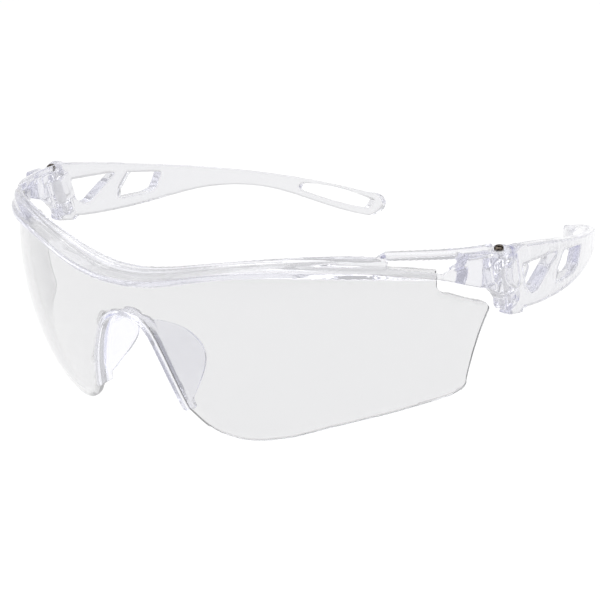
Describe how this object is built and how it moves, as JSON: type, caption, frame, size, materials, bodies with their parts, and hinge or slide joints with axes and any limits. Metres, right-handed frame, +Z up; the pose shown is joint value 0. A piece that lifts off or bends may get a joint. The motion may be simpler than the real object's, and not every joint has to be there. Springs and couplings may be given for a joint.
{
  "type": "safety glasses",
  "caption": "Clear wraparound safety glasses: wide spherical lens under a slim brow frame, clip-on nosepiece, and folding openwork temples with slotted tips.",
  "frame": {"origin": "on the table, under the middle of the overall box, with both temples open", "axes": "+X to the wearer's left, +Y from the lens back to the ears, +Z up from the table the lens and the temple tips rest on"},
  "size_m": [0.1422, 0.1705, 0.0466],
  "materials": {
    "brow_frame": "crystal-clear moulded polycarbonate, faint lavender where thick",
    "lens": "crystal-clear polished polycarbonate sheet",
    "nosepiece": "clear soft moulded plastic",
    "left_temple": "crystal-clear moulded polycarbonate",
    "right_temple": "crystal-clear moulded polycarbonate",
    "screw_metal": "dark blackened steel"
  },
  "bodies": {
    "front": {"brow_frame": "brow_frame", "lens": "lens", "nosepiece": "nosepiece", "left_hinge_screw": "screw_metal", "right_hinge_screw": "screw_metal"},
    "left_arm": {"left_temple": "left_temple"},
    "right_arm": {"right_temple": "right_temple"}
  },
  "joints": [
    {"name": "left_fold", "type": "hinge", "parent": "front", "child": "left_arm", "pos_m": [0.0675, -0.03275, 0.0425], "axis": [0, -0.2672, 0.9636], "range_deg": [0, 90]},
    {"name": "right_fold", "type": "hinge", "parent": "front", "child": "right_arm", "pos_m": [-0.0675, -0.03275, 0.0425], "axis": [0, 0.2672, -0.9636], "range_deg": [0, 79]}
  ]
}
